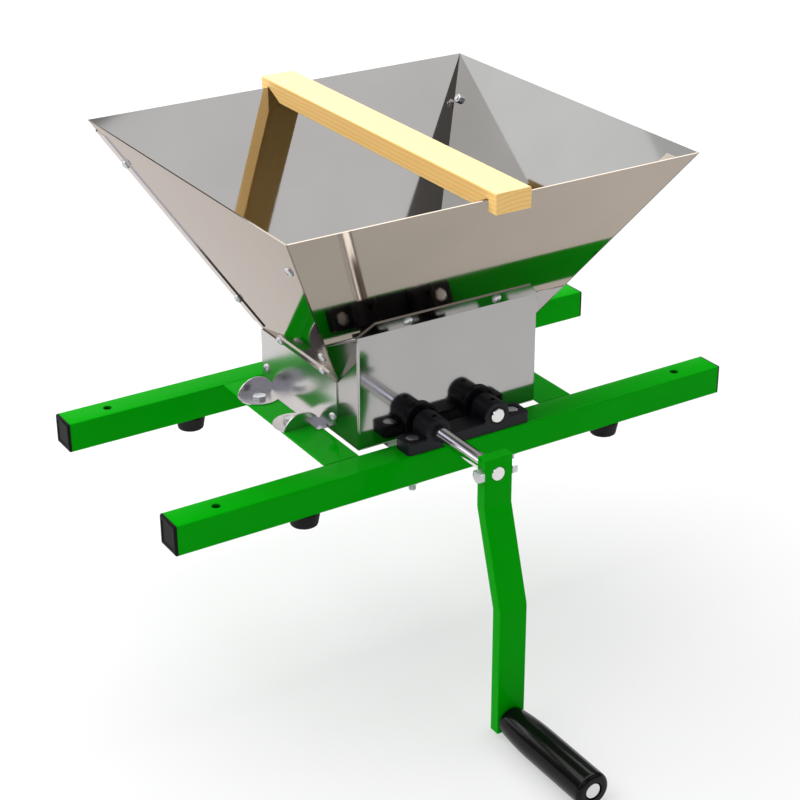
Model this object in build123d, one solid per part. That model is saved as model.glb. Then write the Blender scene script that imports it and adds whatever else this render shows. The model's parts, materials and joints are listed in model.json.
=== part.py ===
from build123d import *
import os
from math import acos, cos, pi, radians, sin, tan

# Hand-cranked fruit crusher, in millimetres.
# The origin is the middle of the four fixing holes, level with the tops of the two frame tubes.
# +X runs along the tubes, +Y away from the crank, +Z up.

# Frame
TUBE_SIDE = 25.0
TUBE_WALL = 1.5
TUBE_CORNER = 1.2
TUBE_LENGTH = 509.0
TUBE_PITCH = 194.0
FIXING_HOLE = 7.0
FIXING_PITCH = 433.0
CAP_HEAD = 2.5
CAP_BEVEL = 1.2
CAP_PLUG = 12.0
CAP_FIT = 0.1
CAP_RIM = 3.5
CAP_INSET = 0.6
BAR_WIDTH = 30.0
BAR_THICK = 2.0
BAR_PITCH = 203.2
FOOT_PITCH = 286.0
FOOT_TOP = 26.0
FOOT_BASE = 21.5
FOOT_HEIGHT = 12.0
FOOT_RECESS = 6.0
FOOT_RECESS_WIDTH = 12.0

# Hopper and throat, all of one gauge of sheet
SHEET = 1.0
RIM_WIDTH = 361.0
RIM_DEPTH = 330.0
RIM_HEIGHT = 215.4
RIM_OFFSET = 13.6
NECK_WIDTH = 167.2
NECK_FRONT = -49.3
NECK_REAR = 73.9
NECK_HEIGHT = 47.2
THROAT_FRONT = -80.2
THROAT_LIFT = 0.6
LAP_WIDTH = 22.0
LAP_DROP = 1.2
LOBE_DROP = 1.0
LOBE_LOW = 13.0
SEAM_END = 8.0
REAR_RETURN = 15.0
REAR_RETURN_RISE = 7.8
TAB_WIDTH = 14.0
TAB_CHAMFER = 12.0
FLANGE_WIDTH = 10.0
FLANGE_FRONT = -47.6
FLANGE_REAR = 41.0
FLANGE_CHAMFER = 3.0
SIDE_CORNER = 15.0
SIDE_LIFT = 4.5

# Foot flange of each side sheet, with two round ears folded so that the larger part lies flat
SOLE_WIDTH = 8.6
SOLE_FRONT = -31.0
EAR_RADIUS = 17.5
EAR_CHORD = 4.5
EAR_REACH = 9.0
EAR_OUT = 16.4
EAR_SKEW = 2.0
EAR_FRONT_FOLD = -19.0
EAR_REAR_FOLD = 58.5
EAR_BOLT_OUT = 20.4
EAR_BOLT_SETBACK = 13.5
EAR_HEAD = 2.8

# Places of the sheet screws
FRONT_SEAM_SETBACK = 10.5
FRONT_SEAM_DROP = 34.7
FRONT_SEAM_RISE = 27.3
REAR_SEAM_SETBACK = 7.5
REAR_SEAM_DROP = 32.7
REAR_SEAM_RISE = 28.1
TAB_SCREW_PITCH = 82.0
TAB_SCREW_UP = 7.5
FLANGE_SCREW_UP = 5.5
FLANGE_SCREW_FRONT = -31.9
FLANGE_SCREW_REAR = 36.6
CHEEK_SCREW_FRONT = -41.3
CHEEK_SCREW_REAR = 66.9
CHEEK_SCREW_HEIGHT = 14.0

# Fasteners: thread, and the room left round it
SHEET_THREAD = 4.0
FOOT_THREAD = 5.0
BOLT_THREAD = 6.0
SPINDLE_THREAD = 8.0
HOLE_ROOM = 0.4
NUT_ROOM = 0.1
HEAD_RISE = 0.6
HEAD_TAPER = 25.0
HEAD_SIDES = 12
SHANK_SIDES = 8

# Bearing blocks
BLOCK_LENGTH = 114.0
BLOCK_OFFSET = 1.6
BLOCK_NEAR = 9.0
BLOCK_FAR = 11.0
BLOCK_HEIGHT = 10.0
BLOCK_CORNER = 3.0
BLOCK_BOLT_PITCH = 94.0
BLOCK_BOLT_TURN = -21.0
BLOCK_BOLT_TAIL = 6.0
POCKET_DEPTH = 4.6
BOSS_RADIUS = 11.4
BOSS_LENGTH = 21.4
BOSS_EDGE = 0.8
PLINTH_EDGE = 0.7
PLINTH_RISE = 1.0
OIL_HOLE = 4.4
OIL_SETBACK = 7.0
BUSH_WALL = 1.6
BUSH_FIT = 0.02
BUSH_EDGE = 0.5
SEAL_RADIUS = 14.8
SEAL_DEPTH = 3.0
SEAL_RIM = 1.8
SEAL_WEB = 1.0

# Shafts and crushing rollers
SHAFT = 12.0
SHAFT_PITCH = 55.0
SHAFT_HEIGHT = 13.9
SHAFT_RUN = 0.04
SHAFT_FLATS = 10.0
SHAFT_HOLE_ROOM = 1.0
SHAFT_CHAMFER = 0.6
SHAFT_TAIL = 1.5
SHAFT_NOSE = 1.4
FIT = 0.05
ROLLER_GAP = 3.0
DISC_TIP_RADIUS = 33.0
DISC_ROOT_RADIUS = 22.0
DISC_TEETH = 8
DISC_THICK = 6.0
DISC_PITCH = 20.0
DRIVE_DISCS = 7
HUB_RADIUS = 15.0
SLEEVE_RADIUS = 10.0
PIN = 4.0
PIN_SUNK = 0.5

# Gears behind the rear block
GEAR_MODULE = 2.5
GEAR_TEETH = 22
GEAR_WIDTH = 10.0
GEAR_PRESSURE = 20.0
GEAR_BACKLASH = 0.3
GEAR_COLLAR = 2.5
GEAR_COLLAR_RADIUS = 10.0
GEAR_RUN = 0.3
GEAR_HUB_RADIUS = 11.0
GEAR_HUB_LENGTH = 9.0

# Crank and grip
CRANK_WIDTH = 25.0
CRANK_THICK = 10.0
CRANK_FACE = -189.0
CRANK_TOP = 13.8
CRANK_OFFSET = 23.5
CRANK_BEND_HIGH = 27.4
CRANK_BEND_LOW = 106.0
CRANK_BEND_RADIUS = 12.0
CRANK_EDGE = 0.8
CRANK_RADIUS = 207.4
CRANK_END = 9.0
WASHER_THICK = 1.2
WASHER_RADIUS = 9.0
GRIP_RUN = 0.2
GRIP_LENGTH = 105.5
GRIP_NECK = 12.0
GRIP_RADIUS = 14.5
GRIP_SWELL = 38.0
GRIP_ROUND = 4.0
SPINDLE_HEAD = 13.5
SPINDLE_HEAD_THICK = 3.0
SPINDLE_HEAD_ROOM = 0.6
SPINDLE_SUNK = 0.8
SPINDLE_TAIL = 3.0

# Wooden bar laid across the rim
WOOD_WIDTH = 31.0
WOOD_OVER_RIM = 7.9
WOOD_UNDER_RIM = 8.5
WOOD_LUG = 10.0
WOOD_LUG_ROOM = 0.6
WOOD_SEAT = 2.6
WOOD_SHOULDER = 18.0
WOOD_SEAT_ROOM = 0.1
WOOD_EDGE = 0.8

parts = {}

# Proportions of standard fasteners, by thread


def across_flats(thread):
    """Width of a standard hexagon over its flats."""
    return 1.7 * thread


def head_height(thread):
    """Height of a hexagon bolt head."""
    return 0.66 * thread


def nut_height(thread):
    """Height of a hexagon nut."""
    return 0.8 * thread


def hole_radius(thread):
    """Radius of a clearance hole."""
    return (thread + HOLE_ROOM) / 2


def hexagon(thread):
    """Outline of a hexagon head or nut."""
    return RegularPolygon(across_flats(thread) / 2, 6, major_radius=False)


def post(radius, height):
    """Upright cylinder standing on its origin; a negative height hangs from it."""
    return extrude(Circle(radius), height)


def hex_bolt(thread, length, head):
    """Bolt that points down from the seat of its head, which has the given height."""
    return extrude(hexagon(thread), head) + post(thread / 2, -length)


def hex_nut(thread):
    """Nut that hangs below the face it is tightened against."""
    return extrude(hexagon(thread) - Circle(thread / 2 + NUT_ROOM), -nut_height(thread))


def small_screw(thread, length):
    """Small screw with a low tapered head, all plain prisms, pointing down from the seat of its head."""
    head = extrude(RegularPolygon(thread, HEAD_SIDES), HEAD_RISE * thread, taper=HEAD_TAPER)
    return head + extrude(RegularPolygon(thread / 2, SHANK_SIDES), -length)


def small_nut(thread):
    """Nut of a small screw."""
    bore = RegularPolygon(thread / 2 + NUT_ROOM, SHANK_SIDES)
    return extrude(hexagon(thread) - bore, -nut_height(thread))


def rod(x, z, radius, near, far):
    """Round bar along Y."""
    return Plane(origin=(x, near, z), x_dir=(1, 0, 0), z_dir=(0, 1, 0)) * post(radius, far - near)


def flipped(spot):
    """The same seat on the other side of the machine, left for right."""
    place = spot.origin
    way = spot.z_dir
    return Plane(origin=(-place.X, place.Y, place.Z), z_dir=(-way.X, way.Y, way.Z))


def both_sides(spots):
    """Seats on the left, with their mirror images on the right."""
    return spots + [flipped(spot) for spot in spots]


def drilled(piece, spots, thread):
    """A sheet piece with clearance holes at the seats that lie on it."""
    reach = 3 * SHEET
    for spot in spots:
        piece = piece - spot.offset(-reach) * post(hole_radius(thread), 2 * reach)
    return piece


def group(pieces):
    """Like pieces that share one node."""
    return Compound(children=list(pieces))


# Frame: two square tubes joined by two flat bars
tube_y = TUBE_PITCH / 2
tube_inner = tube_y - TUBE_SIDE / 2
tube_section = RectangleRounded(TUBE_SIDE, TUBE_SIDE, TUBE_CORNER)
tube_hollow = Rectangle(TUBE_SIDE - 2 * TUBE_WALL, TUBE_SIDE - 2 * TUBE_WALL)
tube_start = Plane(origin=(-TUBE_LENGTH / 2, 0, -TUBE_SIDE / 2), x_dir=(0, 1, 0), z_dir=(1, 0, 0))
foot_x = FOOT_PITCH / 2
block_bolt_x = BLOCK_BOLT_PITCH / 2

plain_tube = extrude(tube_start * (tube_section - tube_hollow), TUBE_LENGTH)
for side in (-1, 1):
    plain_tube -= Pos(side * FIXING_PITCH / 2, 0, -TUBE_SIDE) * post(FIXING_HOLE / 2, TUBE_SIDE)
    bolt_hole = post(hole_radius(BOLT_THREAD), TUBE_SIDE)
    plain_tube -= Pos(BLOCK_OFFSET + side * block_bolt_x, 0, -TUBE_SIDE) * bolt_hole
    plain_tube -= Pos(side * foot_x, 0, -TUBE_SIDE) * post(hole_radius(FOOT_THREAD), TUBE_WALL)
parts["front_frame_tube"] = Pos(0, -tube_y, 0) * plain_tube
parts["rear_frame_tube"] = Pos(0, tube_y, 0) * plain_tube

# Plastic plugs that close the four tube ends
cap_head = extrude(tube_section, CAP_HEAD)
cap_head = chamfer(cap_head.faces().sort_by(Axis.Z)[-1].edges(), CAP_BEVEL)
cap_panel = TUBE_SIDE - 2 * CAP_RIM
cap_head -= Pos(0, 0, CAP_HEAD - CAP_INSET) * extrude(Rectangle(cap_panel, cap_panel), CAP_INSET)
plug_side = TUBE_SIDE - 2 * TUBE_WALL - 2 * CAP_FIT
cap = cap_head + extrude(Rectangle(plug_side, plug_side), -CAP_PLUG)
cap_seats = []
for end in (-1, 1):
    for row in (-1, 1):
        seat = (end * TUBE_LENGTH / 2, row * tube_y, -TUBE_SIDE / 2)
        cap_seats.append(Plane(origin=seat, x_dir=(0, 1, 0), z_dir=(end, 0, 0)))
parts["tube_end_caps"] = group(seat * cap for seat in cap_seats)

# Rubber feet, each held by a screw from below
foot = Cone(FOOT_BASE / 2, FOOT_TOP / 2, FOOT_HEIGHT, align=(Align.CENTER, Align.CENTER, Align.MAX))
foot -= Pos(0, 0, -FOOT_HEIGHT) * post(FOOT_RECESS_WIDTH / 2, FOOT_RECESS)
foot -= post(hole_radius(FOOT_THREAD), -FOOT_HEIGHT)
foot_screw = small_screw(FOOT_THREAD, FOOT_HEIGHT - FOOT_RECESS + 2 * FOOT_THREAD)
foot_screw = Pos(0, 0, FOOT_RECESS - FOOT_HEIGHT) * Rot(180, 0, 0) * foot_screw
foot_spots = [Pos(x * foot_x, y * tube_y, -TUBE_SIDE) for x in (-1, 1) for y in (-1, 1)]
parts["rubber_feet"] = group(spot * foot for spot in foot_spots)
parts["foot_screws"] = group(spot * foot_screw for spot in foot_spots)

# Planes of the four hopper walls, and where any three planes meet


def wall(low, high, along):
    """Outer face of a hopper wall: local x runs along the wall and local y up its slope."""
    along = Vector(*along)
    up = Vector(*high) - Vector(*low)
    return Plane(origin=low, x_dir=along, z_dir=along.cross(up))


def level(height):
    """Horizontal plane."""
    return Plane.XY.offset(height)


def meet(first, second, third):
    """Point where three planes meet."""
    a, b, c = first.z_dir, second.z_dir, third.z_dir
    point = b.cross(c) * a.dot(first.origin) + c.cross(a) * b.dot(second.origin)
    return (point + a.cross(b) * c.dot(third.origin)) * (1 / a.dot(b.cross(c)))


def plate(corners, way):
    """Flat sheet on the given corners, one gauge thick along the given way."""
    return extrude(Face(Wire.make_polygon(corners)), SHEET, dir=way)


def between(face, first, second, top, bottom, way):
    """Flat sheet on a plane, bounded by four others."""
    ends = ((first, top), (second, top), (second, bottom), (first, bottom))
    return plate([meet(face, edge, end) for edge, end in ends], way)


neck_x = NECK_WIDTH / 2
front_wall = wall((0, NECK_FRONT, NECK_HEIGHT), (0, RIM_OFFSET - RIM_DEPTH / 2, RIM_HEIGHT), (1, 0, 0))
rear_wall = wall((0, NECK_REAR, NECK_HEIGHT), (0, RIM_OFFSET + RIM_DEPTH / 2, RIM_HEIGHT), (-1, 0, 0))
left_wall = wall((-neck_x, 0, NECK_HEIGHT), (-RIM_WIDTH / 2, 0, RIM_HEIGHT), (0, -1, 0))
right_wall = wall((neck_x, 0, NECK_HEIGHT), (RIM_WIDTH / 2, 0, RIM_HEIGHT), (0, 1, 0))
rear_inside = rear_wall.offset(-SHEET)
left_inside = left_wall.offset(-SHEET)
right_inside = right_wall.offset(-SHEET)
left_outside = left_wall.offset(SHEET)
rim = level(RIM_HEIGHT)
neck = level(NECK_HEIGHT)

# The throat's front stands ahead of the neck, so it meets the front wall higher up
throat_inner_front = THROAT_FRONT + SHEET
front_fold_height = NECK_HEIGHT + (throat_inner_front - NECK_FRONT) * front_wall.y_dir.Z / front_wall.y_dir.Y
front_fold_run = (front_fold_height - NECK_HEIGHT) / front_wall.y_dir.Z
front_fold = level(front_fold_height)

# Seats of the screws that hold the sheets together, heads outwards
left_seam_spots = []
for height in (RIM_HEIGHT - FRONT_SEAM_DROP, NECK_HEIGHT + FRONT_SEAM_RISE):
    place = meet(left_wall, front_wall.offset(-FRONT_SEAM_SETBACK), level(height))
    left_seam_spots.append(Plane(origin=place, z_dir=left_wall.z_dir))
for height in (RIM_HEIGHT - REAR_SEAM_DROP, NECK_HEIGHT + REAR_SEAM_RISE):
    place = meet(left_outside, rear_wall.offset(-REAR_SEAM_SETBACK), level(height))
    left_seam_spots.append(Plane(origin=place, z_dir=left_wall.z_dir))
left_flange_spots = []
for place_y in (FLANGE_SCREW_FRONT, FLANGE_SCREW_REAR):
    place = left_outside.from_local_coords((-place_y, FLANGE_SCREW_UP, 0))
    left_flange_spots.append(Plane(origin=place, z_dir=left_wall.z_dir))
left_cheek_spots = []
for place_y in (CHEEK_SCREW_FRONT, CHEEK_SCREW_REAR):
    place = (-neck_x - SHEET, place_y, CHEEK_SCREW_HEIGHT)
    left_cheek_spots.append(Plane(origin=place, z_dir=(-1, 0, 0)))
front_tab_spots = []
rear_tab_spots = []
for side in (-1, 1):
    along = side * TAB_SCREW_PITCH / 2
    place = front_wall.offset(SHEET).from_local_coords((along, front_fold_run + TAB_SCREW_UP, 0))
    front_tab_spots.append(Plane(origin=place, z_dir=front_wall.z_dir))
    place = rear_wall.offset(SHEET).from_local_coords((along, TAB_SCREW_UP, 0))
    rear_tab_spots.append(Plane(origin=place, z_dir=rear_wall.z_dir))
side_spots = both_sides(left_seam_spots + left_flange_spots + left_cheek_spots)
sheet_spots = side_spots + front_tab_spots + rear_tab_spots

# Hopper side walls: plain sheets that run through to the front, where their edge shows
hopper_left = between(left_wall, front_wall, rear_inside, rim, neck, -left_wall.z_dir)
hopper_left = drilled(hopper_left, sheet_spots, SHEET_THREAD)
parts["hopper_left_panel"] = hopper_left
parts["hopper_right_panel"] = mirror(hopper_left, about=Plane.YZ)

# Hopper front wall, with a return folded back inside each side wall
seam_top = level(RIM_HEIGHT - SEAM_END)
seam_low = level(front_fold_height + SEAM_END)
front_lap = front_wall.offset(-LAP_WIDTH)
hopper_front = between(front_wall, left_inside, right_inside, rim, front_fold, -front_wall.z_dir)
hopper_return = between(left_inside, front_wall, front_lap, seam_top, seam_low, -left_wall.z_dir)
hopper_front = hopper_front + hopper_return + mirror(hopper_return, about=Plane.YZ)
parts["hopper_front_panel"] = drilled(hopper_front, sheet_spots, SHEET_THREAD)

# Hopper rear wall, with a return wrapped round the outside of each side wall
return_low = level(NECK_HEIGHT + REAR_RETURN_RISE)
rear_lap = rear_wall.offset(-REAR_RETURN)
hopper_rear = between(rear_wall, left_wall, right_wall, rim, neck, -rear_wall.z_dir)
rear_corner = between(rear_wall, left_inside, left_outside, seam_top, return_low, -rear_wall.z_dir)
rear_return = rear_corner + between(left_wall, rear_wall, rear_lap, seam_top, return_low, left_wall.z_dir)
hopper_rear = hopper_rear + rear_return + mirror(rear_return, about=Plane.YZ)
parts["hopper_rear_panel"] = drilled(hopper_rear, sheet_spots, SHEET_THREAD)

# Throat front: one sheet folded into a front, two cheeks, a lap tab on the hopper and two corner lobes


def tab_on(face, half_width, start, width, chamfer_width):
    """Lap tab on the outside of a hopper wall, its free corners cut off."""
    short = half_width - chamfer_width
    outline = ((-half_width, start), (half_width, start), (short, start + width), (-short, start + width))
    return plate([face.from_local_coords((x, y, 0)) for x, y in outline], face.z_dir)


def across(y, top, way):
    """Upright sheet across the whole throat, with its outer face at the given place and the shaft holes in it."""
    sheet = plate([(-neck_x, y, THROAT_LIFT), (neck_x, y, THROAT_LIFT), (neck_x, y, top), (-neck_x, y, top)], way)
    hole = SHAFT / 2 + SHAFT_HOLE_ROOM
    for side in (-1, 1):
        sheet -= rod(side * shaft_x, SHAFT_HEIGHT, hole, y - SHEET, y + SHEET)
    return sheet


def upright(corners, x):
    """Sheet in a plane across X, with its outer face at the given place and its thickness inwards."""
    return plate([(x, y, z) for y, z in corners], (1 if x < 0 else -1, 0, 0))


shaft_x = SHAFT_PITCH / 2
lap_top = NECK_HEIGHT - LAP_DROP
front_lap_y = NECK_FRONT + LAP_WIDTH
throat_front = across(THROAT_FRONT, front_fold_height, (0, 1, 0))
throat_front += tab_on(front_wall, neck_x, front_fold_run, TAB_WIDTH, TAB_CHAMFER)
cheek_outline = [
    (THROAT_FRONT, THROAT_LIFT),
    (THROAT_FRONT, front_fold_height),
    (throat_inner_front, front_fold_height),
    (NECK_FRONT, NECK_HEIGHT),
    (NECK_FRONT, lap_top),
    (front_lap_y, lap_top),
    (front_lap_y, THROAT_LIFT),
]
lobe_crest = front_fold_height - LOBE_DROP
lobe_high = meet(left_inside, front_wall, level(lobe_crest))
lobe_low = meet(left_inside, front_wall, neck)
lobe_corner = Vector(-neck_x + SHEET, THROAT_FRONT, lobe_crest)
lobe_way = (lobe_high - lobe_low).cross(lobe_corner - lobe_low).normalized()
lobe_top = level(front_fold_height - SEAM_END)
lobe_end = level(NECK_HEIGHT + LOBE_LOW)
throat_left = upright(cheek_outline, -neck_x)
throat_left += plate([lobe_high, lobe_corner, lobe_low], lobe_way)
throat_left += between(left_inside, front_wall, front_lap, lobe_top, lobe_end, -left_wall.z_dir)
throat_front = throat_front + throat_left + mirror(throat_left, about=Plane.YZ)
parts["throat_front_panel"] = drilled(throat_front, sheet_spots, SHEET_THREAD)

# Throat rear: a sheet with a return inside each side sheet and a lap tab on the hopper
throat_rear_face = NECK_REAR + SHEET
rear_lap_y = throat_rear_face - LAP_WIDTH
throat_rear = across(throat_rear_face, NECK_HEIGHT, (0, -1, 0))
throat_rear += tab_on(rear_wall, neck_x, 0, TAB_WIDTH, TAB_CHAMFER)
rear_return_outline = [
    (throat_rear_face, THROAT_LIFT),
    (throat_rear_face, lap_top),
    (rear_lap_y, lap_top),
    (rear_lap_y, THROAT_LIFT),
]
rear_cheek = upright(rear_return_outline, -neck_x)
throat_rear = throat_rear + rear_cheek + mirror(rear_cheek, about=Plane.YZ)
parts["throat_rear_panel"] = drilled(throat_rear, sheet_spots, SHEET_THREAD)

# Throat sides: upright sheets with a lap flange on the hopper and a sole with ears on the cross bar


def ear(fold, way):
    """Round ear folded along a chord: the larger part lies on the cross bar, the rest stands up."""
    centre_x = -neck_x - EAR_OUT
    half_chord = (EAR_RADIUS**2 - EAR_CHORD**2) ** 0.5
    disc = Circle(EAR_RADIUS)
    far = 2 * EAR_RADIUS
    before_fold = Rectangle(2 * far, 2 * far, align=(Align.CENTER, Align.MAX))
    lying = disc & Pos(0, EAR_REACH) * before_fold
    standing = disc - Pos(0, EAR_CHORD) * before_fold
    flat = Plane(origin=(centre_x - EAR_SKEW, fold - way * EAR_REACH, 0), x_dir=(1, 0, 0), z_dir=(0, 0, 1))
    if way < 0:
        flat = flat.rotated((0, 0, 180))
    tongue = extrude(flat * lying, SHEET)
    stand = Plane(origin=(centre_x, fold, -EAR_CHORD), x_dir=(1, 0, 0), z_dir=(0, -1, 0))
    fin = extrude(stand * standing, -way * SHEET)
    fin += Pos(centre_x, fold + way * SHEET / 2, SHEET / 2) * Box(2 * half_chord, SHEET, SHEET)
    keep = Pos(-neck_x, fold, 0) * Box(far * 2, far * 2, far * 2, align=(Align.MAX, Align.CENTER, Align.CENTER))
    return (tongue + fin) & keep


side_front = NECK_FRONT + SHEET
corner_mid = SIDE_CORNER * (1 - cos(pi / 4))
side_outline = Polyline(
    (side_front + SIDE_CORNER, SIDE_LIFT),
    (SOLE_FRONT, SIDE_LIFT),
    (SOLE_FRONT, 0),
    (throat_rear_face, 0),
    (throat_rear_face, NECK_HEIGHT),
    (side_front, NECK_HEIGHT),
    (side_front, SIDE_LIFT + SIDE_CORNER),
)
side_round = ThreePointArc(
    (side_front, SIDE_LIFT + SIDE_CORNER),
    (side_front + corner_mid, SIDE_LIFT + corner_mid),
    (side_front + SIDE_CORNER, SIDE_LIFT),
)
side_face = make_face(side_outline.edges() + side_round.edges())
side_sheet = Pos(-neck_x - SHEET, 0, 0) * extrude(Plane.YZ * side_face, SHEET)
flange_mid = (FLANGE_FRONT + FLANGE_REAR) / 2
flange_place = left_wall.from_local_coords((-flange_mid, 0, 0))
flange_face = Plane(origin=flange_place, x_dir=left_wall.x_dir, z_dir=left_wall.z_dir)
flange_half = (FLANGE_REAR - FLANGE_FRONT) / 2
side_sheet += tab_on(flange_face, flange_half, 0, FLANGE_WIDTH, FLANGE_CHAMFER)
sole_length = EAR_REAR_FOLD - SOLE_FRONT
sole = Box(SOLE_WIDTH, sole_length, SHEET, align=(Align.MAX, Align.MIN, Align.MIN))
side_sheet += Pos(-neck_x, SOLE_FRONT, 0) * sole
side_sheet += ear(EAR_REAR_FOLD, 1) + ear(EAR_FRONT_FOLD, -1)
ear_bolt_x = -neck_x - EAR_BOLT_OUT
ear_bolt_rows = (EAR_REAR_FOLD - EAR_BOLT_SETBACK, EAR_FRONT_FOLD + EAR_BOLT_SETBACK)
left_ear_spots = [Plane(origin=(ear_bolt_x, row, SHEET), z_dir=(0, 0, 1)) for row in ear_bolt_rows]
ear_spots = both_sides(left_ear_spots)
side_sheet = drilled(side_sheet, left_seam_spots + left_flange_spots + left_cheek_spots, SHEET_THREAD)
side_sheet = drilled(side_sheet, left_ear_spots, BOLT_THREAD)
parts["throat_left_panel"] = side_sheet
parts["throat_right_panel"] = mirror(side_sheet, about=Plane.YZ)

# Cross bars, drilled for the ear bolts
bar_size = (BAR_WIDTH, 2 * tube_inner, BAR_THICK)
left_bar = Pos(-BAR_PITCH / 2, 0, 0) * Box(*bar_size, align=(Align.CENTER, Align.CENTER, Align.MAX))
for row in ear_bolt_rows:
    left_bar -= Pos(ear_bolt_x, row, -BAR_THICK) * post(hole_radius(BOLT_THREAD), BAR_THICK)
parts["left_cross_bar"] = left_bar
parts["right_cross_bar"] = mirror(left_bar, about=Plane.YZ)

# Screws, bolts and nuts of the sheet work
screw_length = 2 * SHEET + nut_height(SHEET_THREAD) + SHEET_THREAD / 4
parts["sheet_screws"] = group(spot * small_screw(SHEET_THREAD, screw_length) for spot in sheet_spots)
parts["sheet_nuts"] = group(spot.offset(-2 * SHEET) * small_nut(SHEET_THREAD) for spot in sheet_spots)
ear_bolt_length = SHEET + BAR_THICK + nut_height(BOLT_THREAD) + BOLT_THREAD / 3
parts["ear_bolts"] = group(spot * hex_bolt(BOLT_THREAD, ear_bolt_length, EAR_HEAD) for spot in ear_spots)
parts["ear_nuts"] = group(spot.offset(-SHEET - BAR_THICK) * hex_nut(BOLT_THREAD) for spot in ear_spots)

# Bearing block: a moulded base with two bosses on low plinths, bolted down through the front tube
block_front = -tube_y - BLOCK_FAR
block_back = -tube_y + BLOCK_NEAR
boss_back = block_front + BOSS_LENGTH
bush_radius = SHAFT / 2 + SHAFT_RUN + BUSH_WALL
block_mid = (block_front + block_back) / 2
base_outline = RectangleRounded(BLOCK_LENGTH, BLOCK_NEAR + BLOCK_FAR, BLOCK_CORNER)
block = Pos(BLOCK_OFFSET, block_mid, 0) * extrude(base_outline, BLOCK_HEIGHT)
block = chamfer(block.faces().sort_by(Axis.Z)[-1].edges(), BOSS_EDGE)
plinth_size = (2 * (BOSS_RADIUS + PLINTH_EDGE), BLOCK_NEAR + BLOCK_FAR, BLOCK_HEIGHT + PLINTH_RISE)
for side in (-1, 1):
    boss = rod(side * shaft_x, SHAFT_HEIGHT, BOSS_RADIUS, block_front, boss_back)
    boss = chamfer(boss.edges().filter_by(GeomType.CIRCLE), BOSS_EDGE)
    block += Pos(side * shaft_x, block_mid, 0) * Box(*plinth_size, align=(Align.CENTER, Align.CENTER, Align.MIN))
    block += boss
block_bolt_spots = [Pos(BLOCK_OFFSET + side * block_bolt_x, -tube_y, 0) for side in (-1, 1)]
for side in (-1, 1):
    block -= rod(side * shaft_x, SHAFT_HEIGHT, bush_radius + BUSH_FIT, block_front, boss_back)
    block -= Pos(side * shaft_x, block_front + OIL_SETBACK, SHAFT_HEIGHT) * post(OIL_HOLE / 2, 2 * BOSS_RADIUS)
pocket = extrude(offset(hexagon(BOLT_THREAD), HOLE_ROOM, kind=Kind.INTERSECTION), POCKET_DEPTH)
for spot in block_bolt_spots:
    block -= spot * Pos(0, 0, BLOCK_HEIGHT - POCKET_DEPTH) * Rot(0, 0, BLOCK_BOLT_TURN) * pocket
    block -= spot * post(hole_radius(BOLT_THREAD), BLOCK_HEIGHT)
parts["front_bearing_block"] = block
parts["rear_bearing_block"] = mirror(block, about=Plane.XZ)

# Bushes, each with a cup-shaped seal that lies against the throat
bush_start = block_front + BUSH_EDGE


def sealed_bush(x, panel):
    """Bush of the front block, with its seal against a throat panel at the given place."""
    seal = rod(x, SHAFT_HEIGHT, SEAL_RADIUS, panel - SEAL_DEPTH, panel)
    seal -= rod(x, SHAFT_HEIGHT, SEAL_RADIUS - SEAL_RIM, panel - SEAL_DEPTH, panel - SEAL_WEB)
    bush = seal + rod(x, SHAFT_HEIGHT, bush_radius, bush_start, panel)
    return bush - rod(x, SHAFT_HEIGHT, SHAFT / 2 + SHAFT_RUN, bush_start, panel)


bushes = []
for side in (-1, 1):
    bushes.append(sealed_bush(side * shaft_x, THROAT_FRONT))
    bushes.append(mirror(sealed_bush(side * shaft_x, -throat_rear_face), about=Plane.XZ))
parts["bearing_bushes"] = group(bushes)

bolt_grip = BLOCK_HEIGHT - POCKET_DEPTH + TUBE_SIDE
block_bolt_length = bolt_grip + nut_height(BOLT_THREAD) + BLOCK_BOLT_TAIL
block_bolt = hex_bolt(BOLT_THREAD, block_bolt_length, head_height(BOLT_THREAD))
front_bolt = Rot(0, 0, BLOCK_BOLT_TURN) * Pos(0, 0, BLOCK_HEIGHT - POCKET_DEPTH) * block_bolt
front_bolts = [spot * front_bolt for spot in block_bolt_spots]
front_nuts = [spot * Pos(0, 0, -TUBE_SIDE) * hex_nut(BOLT_THREAD) for spot in block_bolt_spots]
parts["block_bolts"] = group(front_bolts + [mirror(bolt, about=Plane.XZ) for bolt in front_bolts])
parts["block_nuts"] = group(front_nuts + [mirror(nut, about=Plane.XZ) for nut in front_nuts])

# Shafts: flats along the rollers, pin holes at the roller ends
gear_front = -block_front + GEAR_RUN + GEAR_COLLAR
gear_back = gear_front + GEAR_WIDTH
shaft_end = gear_back + GEAR_HUB_LENGTH + SHAFT_TAIL
crank_back = CRANK_FACE + CRANK_THICK
crank_mid = CRANK_FACE + CRANK_THICK / 2
roller_front = throat_inner_front + ROLLER_GAP
roller_back = NECK_REAR - ROLLER_GAP
roller_mid = (roller_front + roller_back) / 2


def disc_rows(count):
    """Middles of the discs on one shaft."""
    return [roller_mid + DISC_PITCH * (number - (count - 1) / 2) for number in range(count)]


drive_rows = disc_rows(DRIVE_DISCS)
driven_rows = disc_rows(DRIVE_DISCS - 1)


def pin_rows(rows):
    """Middles of the outer hub ends, where the pins go."""
    setback = (DISC_PITCH + DISC_THICK) / 4
    return (rows[0] - setback, rows[-1] + setback)


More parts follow.
